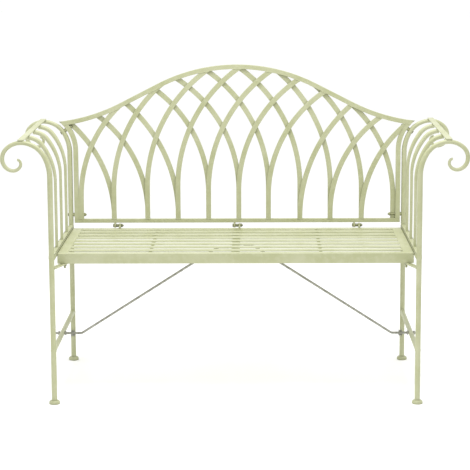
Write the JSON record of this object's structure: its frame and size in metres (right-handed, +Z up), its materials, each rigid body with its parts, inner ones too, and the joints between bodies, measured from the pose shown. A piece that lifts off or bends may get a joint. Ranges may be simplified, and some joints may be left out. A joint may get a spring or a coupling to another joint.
{
  "type": "garden bench",
  "caption": "Painted steel garden bench with scrolled arms, a slatted seat and a crowned back of interlaced arches, on four round feet.",
  "frame": {"origin": "on the ground, midway between the four feet", "axes": "+Z up, +X to the right of a person facing the bench, front of the bench towards -Y"},
  "size_m": [1.3688, 0.589, 0.969],
  "materials": {
    "painted_steel": "satin powder coat, pale sage green",
    "painted_foot": "satin powder coat, pale sage green",
    "fastener_steel": "painted hexagon fasteners with worn corners",
    "zinc_steel": "dull zinc plate"
  },
  "bodies": {
    "root": {"arch_bars_01": "painted_steel", "arch_bars_02": "painted_steel", "arch_bars_03": "painted_steel", "arch_bars_04": "painted_steel", "arch_bars_05": "painted_steel", "arch_bars_06": "painted_steel", "arch_bars_07": "painted_steel", "arch_bars_08": "painted_steel", "arch_bars_09": "painted_steel", "arch_bars_10": "painted_steel", "back_bottom_rail": "painted_steel", "back_lugs": "painted_steel", "back_top_rail": "painted_steel", "feet": "painted_foot", "left_arm_bars": "painted_steel", "left_armrest_strip": "painted_steel", "left_back_stile": "painted_steel", "left_front_leg": "painted_steel", "left_rear_leg": "painted_steel", "left_seat_bracket": "painted_steel", "left_side_rail": "painted_steel", "left_stay": "zinc_steel", "left_stretcher": "painted_steel", "lug_bolts": "fastener_steel", "lug_nuts": "fastener_steel", "lug_sleeves": "fastener_steel", "right_arm_bars": "painted_steel", "right_armrest_strip": "painted_steel", "right_back_stile": "painted_steel", "right_front_leg": "painted_steel", "right_rear_leg": "painted_steel", "right_seat_bracket": "painted_steel", "right_side_rail": "painted_steel", "right_stay": "zinc_steel", "right_stretcher": "painted_steel", "seat_bolts": "fastener_steel", "seat_centre_strip": "painted_steel", "seat_corner_plates": "painted_steel", "seat_front_rail": "painted_steel", "seat_left_rail": "painted_steel", "seat_left_strip": "painted_steel", "seat_lugs": "painted_steel", "seat_nuts": "fastener_steel", "seat_rear_rail": "painted_steel", "seat_right_rail": "painted_steel", "seat_right_strip": "painted_steel", "seat_slat_1": "painted_steel", "seat_slat_2": "painted_steel", "seat_slat_3": "painted_steel", "seat_slat_4": "painted_steel", "seat_slat_5": "painted_steel", "seat_slat_6": "painted_steel", "seat_slat_7": "painted_steel", "side_bolts": "fastener_steel", "side_nuts": "fastener_steel", "side_spacers": "fastener_steel", "stay_bolt": "zinc_steel", "stay_nuts": "zinc_steel", "stay_wing_nuts": "zinc_steel"}
  },
  "joints": []
}
